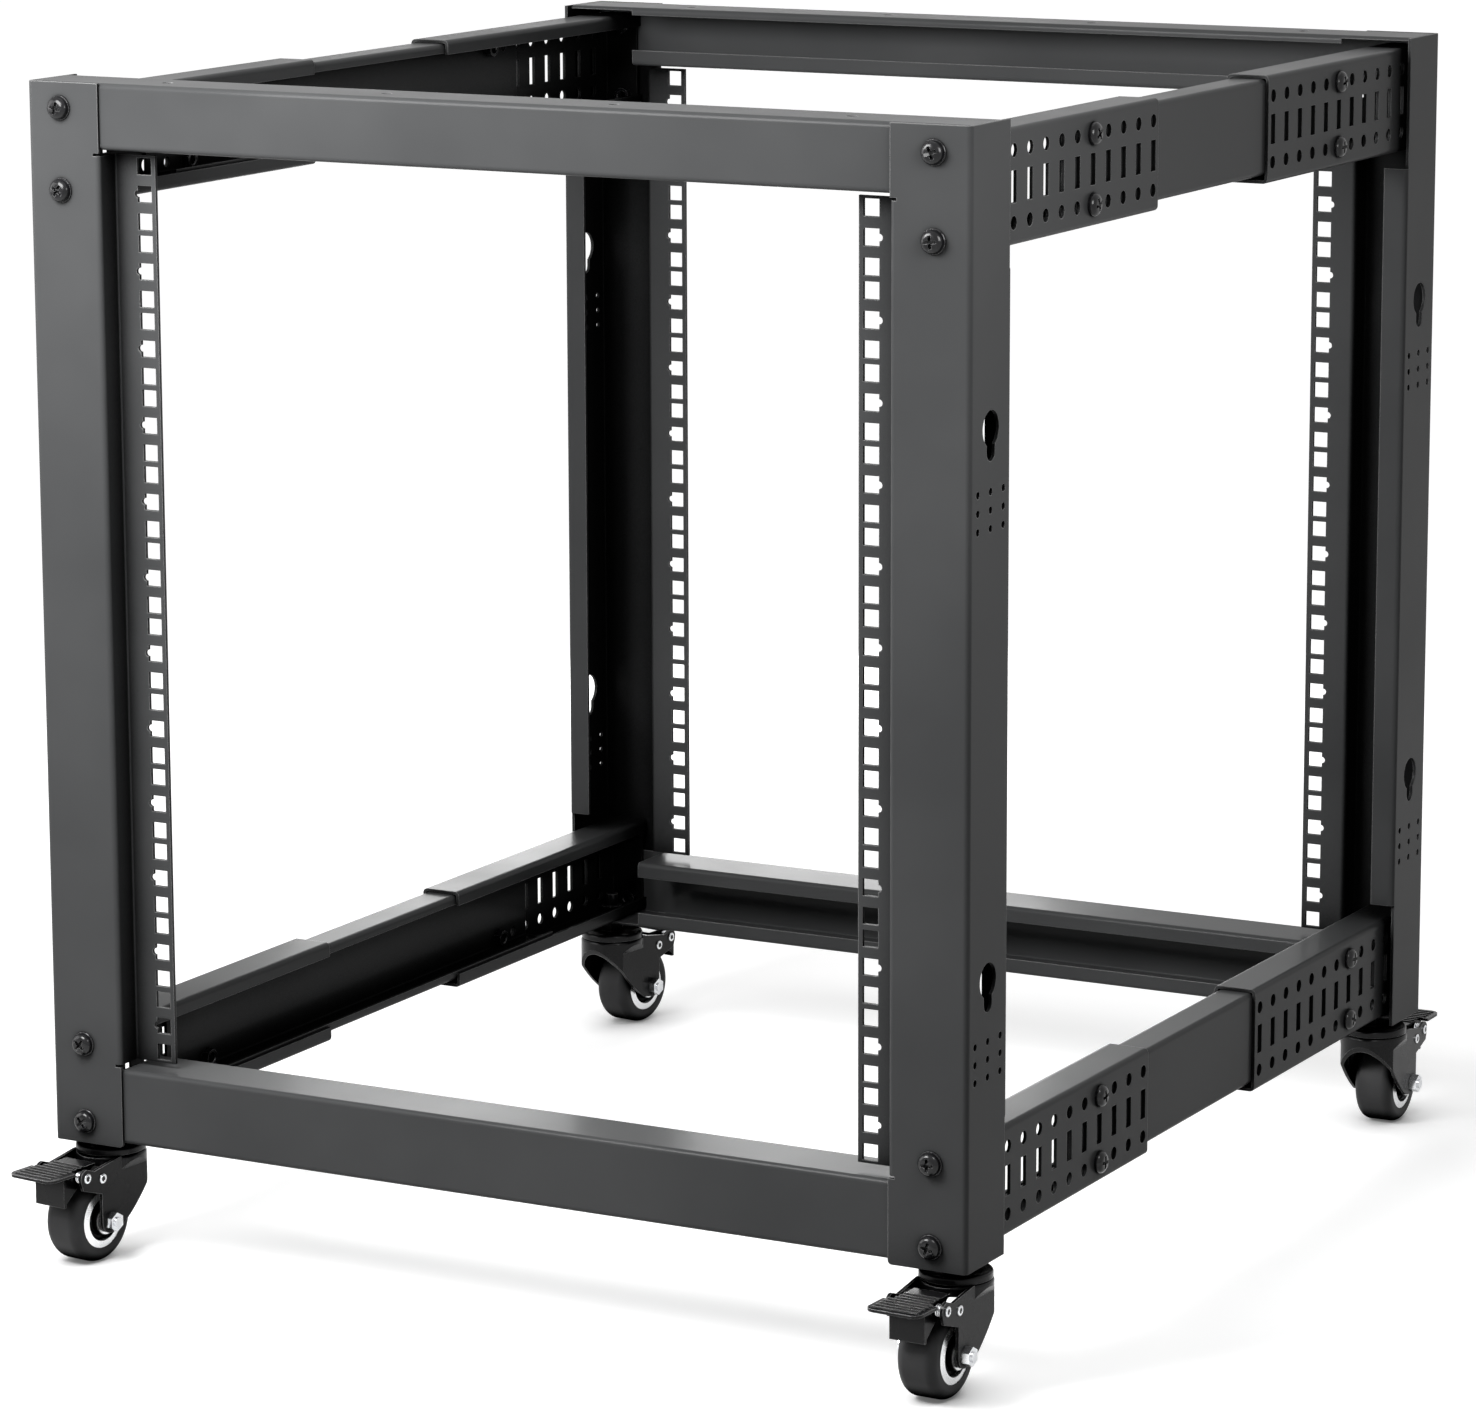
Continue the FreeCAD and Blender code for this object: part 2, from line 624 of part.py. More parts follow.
def make_pins():
    """Axle bolt with its head and nut, the pedal's pivot, and a rivet in each leg."""
    half = FORK_WIDTH / 2
    right = V(1, 0, 0)
    axle = rod(-half, -TRAIL, AXLE_Z, right, AXLE_D / 2, FORK_WIDTH + AXLE_NUT_HIGH + 1)
    head = rod(-half, -TRAIL, AXLE_Z, -right, AXLE_NUT_SIZE / 2, AXLE_NUT_HIGH - 1)
    nut = hexagon(0, AXLE_NUT_HIGH, AXLE_NUT_SIZE)
    nut.rotate(V(0, 0, 0), V(0, 1, 0), 90)
    nut.translate(V(half, -TRAIL, AXLE_Z))
    pieces = [fuse([axle, head, nut])]

    pivot = [rod(-half, -PIVOT_AHEAD, PIVOT_Z, right, PIVOT_D / 2, FORK_WIDTH)]
    for side in (-1, 1):
        out = right * side
        pivot.append(rod(side * half, -PIVOT_AHEAD, PIVOT_Z, out, RIVET_HEAD_D / 2,
                         RIVET_HEAD_HIGH))
        inner = half - FORK_SHEET
        shank = rod(side * inner, -RIVET_AHEAD, RIVET_Z, out, PIVOT_D / 2, FORK_SHEET)
        outer_head = rod(side * half, -RIVET_AHEAD, RIVET_Z, out, RIVET_HEAD_D / 2,
                         RIVET_HEAD_HIGH)
        inner_head = rod(side * inner, -RIVET_AHEAD, RIVET_Z, -out, RIVET_HEAD_D / 2,
                         RIVET_HEAD_HIGH)
        pieces.append(fuse([shank, outer_head, inner_head]))
    pieces.append(fuse(pivot))
    return Part.makeCompound(pieces)


def make_wheel():
    """Wheel core: rim, ring round a pocket on each side, and hub."""
    bore = AXLE_D / 2 + AXLE_PLAY
    rim = WHEEL_D / 2 - TYRE_THICK
    ring = rim - RING_WIDE
    edge = WHEEL_WIDTH / 2
    floor = edge - POCKET_DEEP
    half = [(HUB_LENGTH / 2, bore), (HUB_LENGTH / 2, HUB_D / 2), (floor, HUB_D / 2),
            (floor, ring), (edge + 0.5, ring), (edge - 0.3, rim)]
    profile = half + [(-x, r) for x, r in reversed(half)]
    points = [V(x, r, 0) for x, r in profile + profile[:1]]
    core = Part.Face(Part.makePolygon(points)).revolve(V(0, 0, 0), V(1, 0, 0), 360)
    core.translate(V(0, -TRAIL, AXLE_Z))
    return core


def make_tyre():
    """Tread ring with rounded shoulders."""
    half = WHEEL_WIDTH / 2
    ring = rod(-half, -TRAIL, AXLE_Z, V(1, 0, 0), WHEEL_D / 2, WHEEL_WIDTH)
    shoulders = [edge for edge in ring.Edges if edge.BoundBox.XLength < 0.01]
    ring = ring.makeFillet(SHOULDER_R, shoulders)
    bore = rod(-half - 1, -TRAIL, AXLE_Z, V(1, 0, 0), WHEEL_D / 2 - TYRE_THICK, WHEEL_WIDTH + 2)
    return ring.cut(bore)


def make_pedal():
    """Brake pedal: paddle and ramp with ridges, two cheeks on the pivot, and the shoe."""
    low = PADDLE_TOP - PADDLE_THICK
    rear = PADDLE_REACH - PADDLE_DEEP
    half = RAMP_WIDE / 2
    paddle = box(-PADDLE_WIDE / 2, PADDLE_WIDE / 2, -PADDLE_REACH, -rear, low, PADDLE_TOP)
    corners = [edge for edge in paddle.Edges
               if edge.BoundBox.ZLength > PADDLE_THICK / 2 and edge.BoundBox.YMax < -rear - 1]
    paddle = paddle.makeFillet(PADDLE_CORNER_R, corners)
    pieces = [paddle, box(-half, half, -rear - 1, -RAMP_AHEAD, low, PADDLE_TOP)]
    for i in range(RIDGE_COUNT):
        y = -PADDLE_REACH + (i + 1) * RIDGE_PITCH
        ridge_half = half if -y < rear else PADDLE_WIDE / 2 - PADDLE_CORNER_R / 2
        pieces.append(box(-ridge_half, ridge_half, y - RIDGE_WIDE / 2, y + RIDGE_WIDE / 2,
                          PADDLE_TOP - PADDLE_THICK / 2, PADDLE_TOP + RIDGE_HIGH))
    shoe_end = SHOE_AHEAD + SHOE_THICK
    outline = [ahead(shoe_end, low), ahead(RAMP_AHEAD + CHEEK_THICK, low),
               around(ahead(PIVOT_AHEAD, PIVOT_Z), NOSE_R, -110), ahead(SHOE_AHEAD, SHOE_Z + SHOE_THICK),
               ahead(SHOE_AHEAD, SHOE_Z), ahead(shoe_end, SHOE_Z)]
    for side in (-1, 1):
        pieces.append(plate(outline, side * (half - CHEEK_THICK), side * half))
    pieces.append(box(-half, half, -shoe_end, -SHOE_AHEAD, SHOE_Z, PIVOT_Z))
    hole = rod(-PADDLE_WIDE, -PIVOT_AHEAD, PIVOT_Z, V(1, 0, 0), PIVOT_D / 2 + AXLE_PLAY,
               2 * PADDLE_WIDE)
    return fuse(pieces).cut(hole)


def place_caster(shape, side, end):
    """Turn a front caster's piece by its yaw and set it under a post."""
    yaws = FRONT_YAWS if end < 0 else REAR_YAWS
    placed = shape.copy()
    placed.rotate(V(0, 0, 0), V(0, 0, 1), -yaws[0 if side < 0 else 1])
    if end > 0:
        placed = flip_y(placed)
    placed.translate(V(side * CASTER_X, end * CASTER_Y, 0))
    return placed


# ---- write the nodes --------------------------------------------------------------------
os.makedirs("parts", exist_ok=True)

post = make_post()
sleeves = {"upper": make_sleeve(UPPER_SLEEVE_Z), "lower": make_sleeve(LOWER_SLEEVE_Z)}
left_channel = (LEFT_COLUMNS, LONG_MARGIN, SHORT_MARGIN)
channels = {
    "upper_right": make_channel(UPPER_SLEEVE_Z, RIGHT_UPPER_COLUMNS, SHORT_MARGIN, LONG_MARGIN),
    "lower_right": make_channel(LOWER_SLEEVE_Z, RIGHT_LOWER_COLUMNS, SHORT_MARGIN, LONG_MARGIN),
    "upper_left": flip_x(make_channel(UPPER_SLEEVE_Z, *left_channel)),
    "lower_left": flip_x(make_channel(LOWER_SLEEVE_Z, *left_channel)),
}
caster = {"cup": make_cup(), "fork": make_fork(), "pins": make_pins(), "wheel": make_wheel(),
          "tyre": make_tyre(), "pedal": make_pedal()}

write("beam_top_front", make_top_beam())
write("beam_top_rear", flip_y(make_top_beam()))
write("beam_bottom_front", make_bottom_beam())
write("beam_bottom_rear", flip_y(make_bottom_beam()))

for name, channel in channels.items():
    write("channel_" + name, channel)

for side, side_name in ((-1, "left"), (1, "right")):
    for end, end_name in ((-1, "front"), (1, "rear")):
        corner = "_" + end_name + "_" + side_name
        corner_post = post if side > 0 else flip_x(post)
        write("post" + corner, corner_post if end < 0 else flip_y(corner_post))
        for level, sleeve in sleeves.items():
            corner_sleeve = sleeve if side > 0 else flip_x(sleeve)
            write("sleeve_" + level + corner, corner_sleeve if end < 0 else flip_y(corner_sleeve))
        for piece, shape in caster.items():
            write("caster_" + piece + corner, place_caster(shape, side, end))
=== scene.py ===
import json
import math

import bmesh
import bpy
from mathutils import Matrix, Vector


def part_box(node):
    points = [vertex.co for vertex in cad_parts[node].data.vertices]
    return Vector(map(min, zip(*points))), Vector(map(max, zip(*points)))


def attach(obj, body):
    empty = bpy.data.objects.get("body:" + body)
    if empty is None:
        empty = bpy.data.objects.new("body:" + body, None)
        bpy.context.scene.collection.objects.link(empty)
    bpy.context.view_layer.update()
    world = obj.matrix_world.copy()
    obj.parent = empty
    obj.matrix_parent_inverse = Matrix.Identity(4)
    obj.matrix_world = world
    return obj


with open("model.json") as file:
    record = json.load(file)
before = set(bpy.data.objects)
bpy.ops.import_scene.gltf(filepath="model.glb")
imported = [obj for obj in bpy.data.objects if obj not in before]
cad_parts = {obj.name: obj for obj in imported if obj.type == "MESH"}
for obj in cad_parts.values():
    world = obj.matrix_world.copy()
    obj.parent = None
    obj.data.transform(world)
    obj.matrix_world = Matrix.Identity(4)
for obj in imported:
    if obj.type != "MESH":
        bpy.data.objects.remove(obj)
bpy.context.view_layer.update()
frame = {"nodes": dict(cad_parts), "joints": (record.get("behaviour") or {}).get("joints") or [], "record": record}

MM = 0.001
RECORD = frame["record"]
CORNERS = [(end, side) for end in ("front", "rear") for side in ("left", "right")]
TOWARDS = {"front": -1, "rear": 1, "left": -1, "right": 1}
FULL_TURN = 2 * math.pi
SHARP_ANGLE = math.radians(32)

# ---- fasteners (mm) ------------------------------------------------------------------
WASHER_D = 14.4
WASHER_THICK = 1.0
WASHER_PLAY = 0.3               # round the screw
WASHER_RIM = 0.35               # softened rim above
WASHER_FOOT = (0.2, 0.25)       # softened rim below: inwards, upwards
PAN_D = 13.2
PAN_HIGH = 4.2
PAN_SUNK = 0.5                  # how far the head's plug reaches below its underside
PAN_UNDERCUT = (0.6, 0.1)       # plug and underside, in from the head's radius
PAN_SIDE = 0.9                  # height of the side below the dome
PAN_FLAT = 0.45                 # share of the radius where the dome ends
PAN_CROWN = 0.1
PAN_STEPS = 8
CROSS_WIDE = 1.9
CROSS_LONG = 7.6
CROSS_DEEP = 2.4
CROSS_CLEAR = 1.0               # how far the cutter stands out of the head
CROSS_FLOOR, CROSS_MOUTH = 0.42, 1.25   # its length there, as a share of CROSS_LONG
CROSS_TAPER = 0.4               # share of that taper that its width takes
NUT_ACROSS = 10.0
NUT_HIGH = 5.0
NUT_BORE = 6.0
NUT_CHAMFER = 0.8
NUT_END = 0.90                  # share of the corners' reach that is left at the ends
NUT_LEAD = 0.5                  # chamfer of the bore
NUT_STEPS = 24
FACE_SCREW_X = 278.0
FACE_SCREW_PITCH = 47.0
SIDE_SCREW_ROW = 19.5
SIDE_SCREW_Y = {("upper", "front", "right"): -165.0, ("upper", "rear", "right"): 185.0,
                ("lower", "front", "right"): -145.0, ("lower", "rear", "right"): 225.0,
                ("upper", "front", "left"): -185.0, ("upper", "rear", "left"): 165.0,
                ("lower", "front", "left"): -185.0, ("lower", "rear", "left"): 165.0}
SHEET = 2.0
SLIDE_GAP = 0.2
BEAM_STACK = 3 * SHEET          # post face, beam web and sleeve tab under one screw
SIDE_STACK = 2 * SHEET + SLIDE_GAP      # sleeve and channel
SPIN_CORNER, SPIN_ROW, SPIN_UPPER, SPIN_SIDE = 37.0, 53.0, 21.0, 11.0   # degrees

# ---- caster trim (mm) ----------------------------------------------------------------
HUB_R = 8.55                    # inside of a wheel's hub cover
HUB_END = 14.9                  # from the wheel's middle
POCKET_R = 12.9
POCKET_FLOOR = 9.05             # from the wheel's middle
COVER_STEPS = 56
RIVET_HEAD = 18.8               # from the fork's middle to a rivet head's face
RIVET_BACK = 13.7               # from the pedal's pivot back to the rivet
RIVET_DROP = 3.0
RIVET_HOLE_R = 1.5
RIVET_RIM_R = 2.7
RIVET_RIM_HIGH = 0.35
RIM_STEPS = 28
DISH_STEPS = 20
SPRING_R = 3.1
SPRING_WIRE_R = 0.5
SPRING_START, SPRING_END = 11.8, 15.2   # from the fork's middle
SPRING_TURNS = 3
SPRING_STEPS = 20               # points a turn
WIRE_SIDES = 8

# ---- looks ---------------------------------------------------------------------------
PATCH_SPAN = (0.35, 0.65)       # values of a noise texture that patches of tone run over
COAT_ROUGHNESS = 0.14
BUMP_STRENGTH = 0.5
EDGE_SPAN = (0.80, 0.97)        # how far a softened normal is turned at an edge, the mask of the painted edge highlight
FOLD_SPAN = (0.45, 0.90)        # openness over which the painted shade darkens a fold
SHADED_FOLD_SHARE = 0.08                # share of the colour left in a closed fold under the painted shade
BEVEL_SAMPLES = 4
FOLD_SAMPLES = 8


# ---- materials -----------------------------------------------------------------------
def link(tree, source, output, target, socket):
    """Join two node sockets."""
    tree.links.new(source.outputs[output], target.inputs[socket])


def noise(tree, coords, scale, detail=3.0):
    """A noise texture in the object's own space."""
    node = tree.nodes.new("ShaderNodeTexNoise")
    node.inputs["Scale"].default_value = scale
    node.inputs["Detail"].default_value = detail
    link(tree, coords, "Object", node, "Vector")
    return node


def remap(tree, source, output, span, values):
    """Map a span of an output's values onto a range, held at both ends."""
    node = tree.nodes.new("ShaderNodeMapRange")
    node.inputs["From Min"].default_value, node.inputs["From Max"].default_value = span
    node.inputs["To Min"].default_value, node.inputs["To Max"].default_value = values
    link(tree, source, output, node, "Value")
    return node


def operator(tree, kind, operation):
    """A math or vector math node."""
    node = tree.nodes.new(kind)
    node.operation = operation
    return node


def colour_mix(tree):
    """A node that mixes colours, its two colour inputs and its colour output."""
    node = tree.nodes.new("ShaderNodeMix")
    node.data_type = "RGBA"
    first, second = (socket for socket in node.inputs if socket.type == "RGBA")
    return node, first, second, next(s for s in node.outputs if s.type == "RGBA")


def blended(tree, source, dark, light):
    """A colour between two, chosen by a remapped texture."""
    node, first, second, colour = colour_mix(tree)
    first.default_value = (*dark, 1)
    second.default_value = (*light, 1)
    link(tree, source, "Result", node, "Factor")
    return colour


def painted_edge_highlight(tree, colour, bevel, light):
    """A lighter colour along sharp edges: a painted highlight for the light that edges catch."""
    geometry = tree.nodes.new("ShaderNodeNewGeometry")
    turn = operator(tree, "ShaderNodeVectorMath", "DOT_PRODUCT")
    link(tree, bevel, "Normal", turn, 0)
    link(tree, geometry, "Normal", turn, 1)
    edge = remap(tree, turn, "Value", EDGE_SPAN, (1.0, 0.0))
    node, first, second, painted_highlight = colour_mix(tree)
    tree.links.new(colour, first)
    second.default_value = (light, light, light, 1)
    link(tree, edge, "Result", node, "Factor")
    return painted_highlight


def painted_fold_shade(tree, shader, colour, sheens, reach):
    """The colour darkened inside folds and pockets by ambient occlusion: painted shade; the specular and coat
    sheens are painted out there too.
    """
    hollow = tree.nodes.new("ShaderNodeAmbientOcclusion")
    hollow.samples = FOLD_SAMPLES
    hollow.inputs["Distance"].default_value = reach * MM
    tone = remap(tree, hollow, "AO", FOLD_SPAN, (SHADED_FOLD_SHARE, 1.0))
    scaled = operator(tree, "ShaderNodeVectorMath", "SCALE")
    tree.links.new(colour, scaled.inputs[0])
    link(tree, tone, "Result", scaled, "Scale")
    for socket, value in sheens.items():
        fall = remap(tree, hollow, "AO", FOLD_SPAN, (0.0, value))
        link(tree, fall, "Result", shader, socket)
    return scaled.outputs["Vector"]


def finish_of(name, dark, light, roughness, grain_scale, grain_depth, metallic=0.0,
              patch_scale=9.0, edge=0.0, specular=0.5, coat=0.0, painted_highlight=0.0, painted_shade_reach=0.0):
    """A finish with patches of tone and gloss, fine grain and softened edges (mm), and where asked a painted
    highlight along edges and painted shade in folds.
    """
    material = bpy.data.materials.new(name)
    material.use_nodes = True
    tree = material.node_tree
    shader = tree.nodes["Principled BSDF"]
    sheens = {"Specular IOR Level": specular, "Coat Weight": coat}
    for socket, value in {"Metallic": metallic, "Coat Roughness": COAT_ROUGHNESS, **sheens}.items():
        shader.inputs[socket].default_value = value
    coords = tree.nodes.new("ShaderNodeTexCoord")
    patches = noise(tree, coords, patch_scale)
    colour = blended(tree, remap(tree, patches, "Fac", PATCH_SPAN, (0.0, 1.0)), dark, light)
    gloss = remap(tree, patches, "Fac", PATCH_SPAN, roughness)
    link(tree, gloss, "Result", shader, "Roughness")
    grain = noise(tree, coords, grain_scale, 2.0)
    bump = tree.nodes.new("ShaderNodeBump")
    bump.inputs["Strength"].default_value = BUMP_STRENGTH
    bump.inputs["Distance"].default_value = grain_depth * MM
    link(tree, grain, "Fac", bump, "Height")
    if edge:
        bevel = tree.nodes.new("ShaderNodeBevel")
        bevel.samples = BEVEL_SAMPLES
        bevel.inputs["Radius"].default_value = edge * MM
        link(tree, bevel, "Normal", bump, "Normal")
        link(tree, bevel, "Normal", shader, "Coat Normal")
        if painted_highlight:
            colour = painted_edge_highlight(tree, colour, bevel, painted_highlight)
    link(tree, bump, "Normal", shader, "Normal")
    if painted_shade_reach:
        colour = painted_fold_shade(tree, shader, colour, sheens, painted_shade_reach)
    tree.links.new(colour, shader.inputs["Base Color"])
    return material


# The lightening along edges in these finishes is a painted highlight and the darkening in folds is painted shade;
# the powder coat comes twice, with that painted shade and, for the beams, without it.
COAT = ((0.044, 0.045, 0.046), (0.053, 0.054, 0.055), (0.34, 0.42), 2600.0, 0.02)
SHEEN = {"edge": 0.9, "specular": 0.04, "coat": 0.10, "painted_highlight": 0.26}
FOLD_SHADED_POWDER = finish_of("powder_coat", *COAT, **SHEEN, painted_shade_reach=120.0)
UNSHADED_POWDER = finish_of("powder_coat_unshaded", *COAT, **SHEEN)
ENAMEL = finish_of("black_enamel", (0.004, 0.004, 0.0045), (0.007, 0.007, 0.0075), (0.22, 0.32),
                   900.0, 0.01, patch_scale=60.0, edge=0.7, specular=0.08, coat=0.18, painted_highlight=0.40,
                   painted_shade_reach=16.0)
SCREW_BLACK = finish_of("screw_black_oxide", (0.004, 0.004, 0.0045), (0.008, 0.008, 0.009),
                        (0.16, 0.24), 1500.0, 0.01, patch_scale=200.0, edge=0.2, specular=0.22,
                        coat=0.12, painted_highlight=0.25)
ZINC = finish_of("bright_zinc", (0.62, 0.63, 0.65), (0.78, 0.79, 0.80), (0.12, 0.24),
                 1200.0, 0.01, patch_scale=150.0, metallic=1.0, edge=0.3)
TREAD = finish_of("tread_rubber", (0.036, 0.036, 0.037), (0.052, 0.052, 0.053), (0.48, 0.60),
                  1400.0, 0.04, patch_scale=40.0, specular=0.15, painted_shade_reach=14.0)
RIM = finish_of("rim_plastic", (0.80, 0.81, 0.82), (0.88, 0.885, 0.89), (0.22, 0.32),
                900.0, 0.01, patch_scale=80.0, metallic=0.8)

SLOT_FINISH = {"black_sheet": FOLD_SHADED_POWDER, "caster_black": ENAMEL, "zinc": ZINC,
               "wheel_core": RIM, "tread": TREAD, "pedal_black": ENAMEL}
SLOT_OF = {part["node"]: part["material_slot"] for part in RECORD["subparts"]}

for node_name, node in frame["nodes"].items():
    beam = node_name.startswith("beam")
    node.data.materials.clear()
    # beams take the powder coat without the painted fold shade
    node.data.materials.append(UNSHADED_POWDER if beam else SLOT_FINISH[SLOT_OF[node_name]])


# ---- mesh helpers --------------------------------------------------------------------
def shade(mesh):
    """Smooth faces with sharp edges where the surface turns."""
    mesh.shade_smooth()
    mesh.set_sharp_from_angle(angle=SHARP_ANGLE)


def mesh_object(name, bm):
    """A new object from a bmesh in millimetres, shaded by angle."""
    bmesh.ops.recalc_face_normals(bm, faces=bm.faces)
    for vertex in bm.verts:
        vertex.co *= MM
    mesh = bpy.data.meshes.new(name)
    bm.to_mesh(mesh)
    bm.free()
    shade(mesh)
    obj = bpy.data.objects.new(name, mesh)
    bpy.context.scene.collection.objects.link(obj)
    return obj


def bridge(bm, rings):
    """Faces between rings of vertices, where a ring of one vertex is a tip."""
    steps = max(len(ring) for ring in rings)
    for low, high in zip(rings, rings[1:]):
        for i in range(steps):
            j = (i + 1) % steps
            corners = (low[i % len(low)], low[j % len(low)],
                       high[j % len(high)], high[i % len(high)])
            corners = list(dict.fromkeys(corners))
            if len(corners) > 2:
                bm.faces.new(corners)


def revolved(profile, steps=40):
    """A bmesh turned from a profile of (radius, height) about Z."""
    bm = bmesh.new()
    rings = []
    for radius, height in profile:
        if radius == 0:
            rings.append([bm.verts.new((0, 0, height))])
            continue
        turns = [FULL_TURN * i / steps for i in range(steps)]
        rings.append([bm.verts.new((radius * math.cos(t), radius * math.sin(t), height))
                      for t in turns])
    bridge(bm, rings)
    return bm


def carved(obj, cutter):
    """The object with a cutter taken out of it."""
    change = obj.modifiers.new("carve", "BOOLEAN")
    change.object = cutter
    change.operation = "DIFFERENCE"
    change.solver = "EXACT"
    bpy.context.view_layer.update()
    depsgraph = bpy.context.evaluated_depsgraph_get()
    mesh = bpy.data.meshes.new_from_object(obj.evaluated_get(depsgraph))
    obj.modifiers.clear()
    obj.data = mesh
    shade(mesh)
    bpy.data.objects.remove(cutter)
    return obj


def cross_cutter(top):
    """The tapered cross of a screw's recess whose rim is at height top."""
    bm = bmesh.new()
    rings = []
    for height, share in ((top - CROSS_DEEP, CROSS_FLOOR), (top + CROSS_CLEAR, CROSS_MOUTH)):
        long = CROSS_LONG / 2 * share
        wide = CROSS_WIDE / 2 * (1 - CROSS_TAPER + CROSS_TAPER * share)
        ring = []
        for turn in (0, 90, 180, 270):
            rotate = Matrix.Rotation(math.radians(turn), 4, "Z")
            for x, y in ((long, -wide), (long, wide), (wide, wide)):
                ring.append(bm.verts.new(rotate @ Vector((x, y, height))))
        rings.append(ring)
    bm.faces.new(rings[0][::-1])
    bm.faces.new(rings[1])
    bridge(bm, rings)
    return bm


def pan_head(name):
    """Pan head screw with a cross recess, its underside at z = 0."""
    radius = PAN_D / 2
    plug, under = (radius - inset for inset in PAN_UNDERCUT)
    profile = [(0, -PAN_SUNK), (plug, -PAN_SUNK), (under, 0.0), (radius, PAN_SIDE)]
    for i in range(1, PAN_STEPS + 1):
        turn = math.pi / 2 * i / PAN_STEPS
        profile.append((radius * (PAN_FLAT + (1 - PAN_FLAT) * math.cos(turn)),
                        PAN_SIDE + (PAN_HIGH - PAN_SIDE) * math.sin(turn)))
    profile.append((0, PAN_HIGH + PAN_CROWN))
    head = mesh_object(name, revolved(profile))
    return carved(head, mesh_object(name + "_cutter", cross_cutter(PAN_HIGH)))


def washer(name):
    """Flat washer with softened rims, lying on z = 0."""
    outer, inner, top = WASHER_D / 2, NUT_BORE / 2 + WASHER_PLAY, WASHER_THICK
    profile = [(inner, 0), (outer - WASHER_FOOT[0], 0), (outer, WASHER_FOOT[1]),
               (outer, top - WASHER_RIM), (outer - WASHER_RIM, top), (inner, top), (inner, 0)]
    return mesh_object(name, revolved(profile))


def hex_nut(name):
    """Hexagonal nut with chamfered corners and a bore, standing on z = 0."""
    reach, bore = NUT_ACROSS / math.sqrt(3), NUT_BORE / 2
    levels = [(reach * NUT_END, 0.0), (reach, NUT_CHAMFER), (reach, NUT_HIGH - NUT_CHAMFER),
              (reach * NUT_END, NUT_HIGH), (bore + NUT_LEAD, NUT_HIGH),
              (bore, NUT_HIGH - NUT_LEAD), (bore, 0.0), (reach * NUT_END, 0.0)]
    sixth = math.pi / 3
    bm = bmesh.new()
    rings = []
    for radius, height in levels:
        ring = []
        for i in range(NUT_STEPS):
            turn = FULL_TURN * i / NUT_STEPS
            flat = math.cos(sixth / 2) / math.cos(turn % sixth - sixth / 2)
            scale = radius * flat if radius == reach else min(radius, reach * flat)
            ring.append(bm.verts.new((scale * math.cos(turn), scale * math.sin(turn), height)))
        rings.append(ring)
    bridge(bm, rings)
    bmesh.ops.remove_doubles(bm, verts=bm.verts, dist=MM)
    return mesh_object(name, bm)


def facing(direction):
    """A rotation that turns +Z to a direction."""
    return Vector(direction).to_track_quat("Z", "Y").to_matrix().to_4x4()


def placed(name, source, material, where, direction, body, spin=0.0):
    """A copy of a small piece at a place in mm, with its +Z turned to a direction."""
    obj = bpy.data.objects.new(name, source.data)
    bpy.context.scene.collection.objects.link(obj)
    turn = facing(direction) @ Matrix.Rotation(math.radians(spin), 4, "Z")
    obj.matrix_world = Matrix.Translation(Vector(where) * MM) @ turn
    if not obj.data.materials:
        obj.data.materials.append(material)
    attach(obj, body)
    return obj


# ---- screws, washers and nuts --------------------------------------------------------
SCREW, WASHER, NUT = pan_head("pan_head"), washer("washer"), hex_nut("hex_nut")


def bolt_up(name, x, y, z, out, stack, spin, with_washer):
    """Screw head on one side of a stack of sheet and a nut on the other."""
    outward = Vector(out)
    lift = WASHER_THICK if with_washer else 0.0
    face = Vector((x, y, z))
    if with_washer:
        placed("washer_" + name, WASHER, SCREW_BLACK, face, outward, "frame")
    placed("screw_" + name, SCREW, SCREW_BLACK, face + outward * lift, outward,
           "frame", spin)
    placed("nut_" + name, NUT, SCREW_BLACK, face - outward * stack, -outward,
           "frame", spin)


def sleeve_web(level, end, side):
    """Height of a side sleeve's middle and the x of its outer face, in mm."""
    low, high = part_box("sleeve_%s_%s_%s" % (level, end, side))
    return (low.z + high.z) / 2 / MM, (high.x if TOWARDS[side] > 0 else low.x) / MM


for number, (end, side) in enumerate(CORNERS):
    across, along = TOWARDS[side], TOWARDS[end]
    post_low, post_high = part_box("post_%s_%s" % (end, side))
    face_y = (post_low.y if along < 0 else post_high.y) / MM
    for level in ("upper", "lower"):
        middle, web_x = sleeve_web(level, end, side)
        for row in (-1, 1):
            tag = "%s_%s_%s_%s" % (level, end, side, "top" if row > 0 else "low")
            spin = SPIN_CORNER * number + SPIN_ROW * row + (SPIN_UPPER if level == "upper" else 0.0)
            bolt_up("face_" + tag, across * FACE_SCREW_X, face_y,
                    middle + row * FACE_SCREW_PITCH / 2, (0, along, 0), BEAM_STACK, spin, True)
            bolt_up("side_" + tag, web_x, SIDE_SCREW_Y[level, end, side],
                    middle + row * SIDE_SCREW_ROW, (across, 0, 0), SIDE_STACK, spin + SPIN_SIDE,
                    False)

for source in (SCREW, WASHER, NUT):
    bpy.data.objects.remove(source)


# ---- casters: hub covers, rolled rivets, brake springs -------------------------------
def hub_cover(name):
    """Black cover over a wheel's hub and pocket, on +Z from the wheel's middle."""
    rises = [(HUB_R, 0.0), (POCKET_R, 0.0), (POCKET_R, 0.5), (HUB_R + 1.4, 0.8), (HUB_R + 0.5, 1.6)]
    profile = [(radius, POCKET_FLOOR + rise) for radius, rise in rises]
    profile += [(HUB_R + 0.4, HUB_END - 0.3), (HUB_R, HUB_END), (HUB_R, POCKET_FLOOR)]
    return mesh_object(name, revolved(profile, COVER_STEPS))


